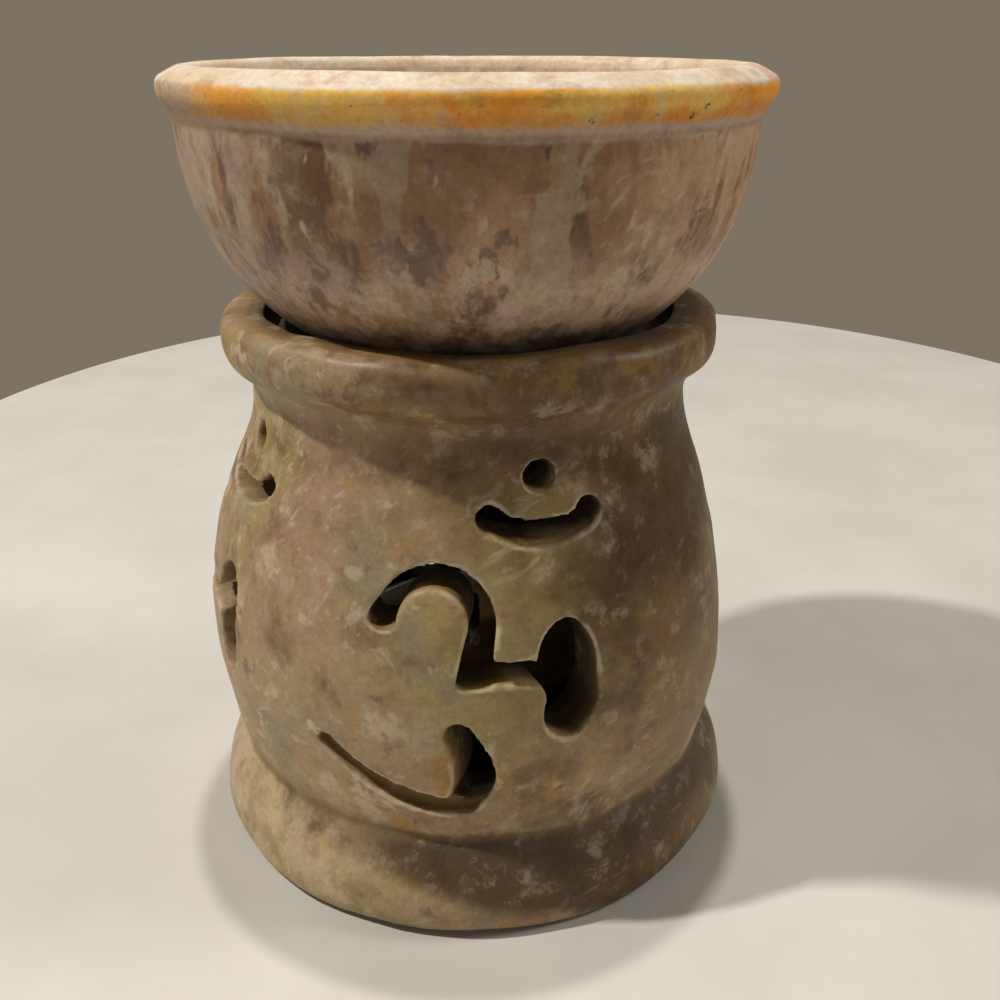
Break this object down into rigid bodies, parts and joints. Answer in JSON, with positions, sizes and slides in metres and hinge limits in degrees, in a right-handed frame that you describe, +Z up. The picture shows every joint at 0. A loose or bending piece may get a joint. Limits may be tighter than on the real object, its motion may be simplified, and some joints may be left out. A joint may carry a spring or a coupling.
{
  "type": "essential oil burner",
  "caption": "Turned soapstone oil burner: a pierced, hollow stone body holds a tealight under a separate lift-off stone bowl for water and oil.",
  "frame": {"origin": "centre of the foot's underside, on the surface the burner stands on", "axes": "+Z up along the turned axis, -Y towards the front of the carved sign, +X to the viewer's right"},
  "size_m": [0.0764, 0.0764, 0.105],
  "materials": {
    "body_stone": "waxed soapstone, mottled olive, tan and mauve",
    "bowl_stone": "waxed soapstone, brown and mauve with an ochre rim",
    "cup_foil": "drawn foil",
    "wax": "natural golden-brown beeswax",
    "wick_cotton": "waxed braided cotton",
    "sustainer_steel": "pressed tinplate"
  },
  "bodies": {
    "burner": {"burner_body": "body_stone"},
    "bowl": {"oil_bowl": "bowl_stone"},
    "tealight": {"tealight_cup": "cup_foil", "tealight_wax": "wax", "tealight_wick": "wick_cotton", "wick_sustainer": "sustainer_steel"}
  },
  "joints": [
    {"name": "bowl_lift", "type": "slide", "parent": "burner", "child": "bowl", "axis": [0, 0, 1], "range_m": [0, 0.12]},
    {"name": "tealight_lift", "type": "slide", "parent": "burner", "child": "tealight", "axis": [0, 0, 1], "range_m": [0, 0.09]}
  ],
  "couplings": [
    {"joint": "tealight_lift", "follows": "bowl_lift", "ratio": 0.75}
  ]
}
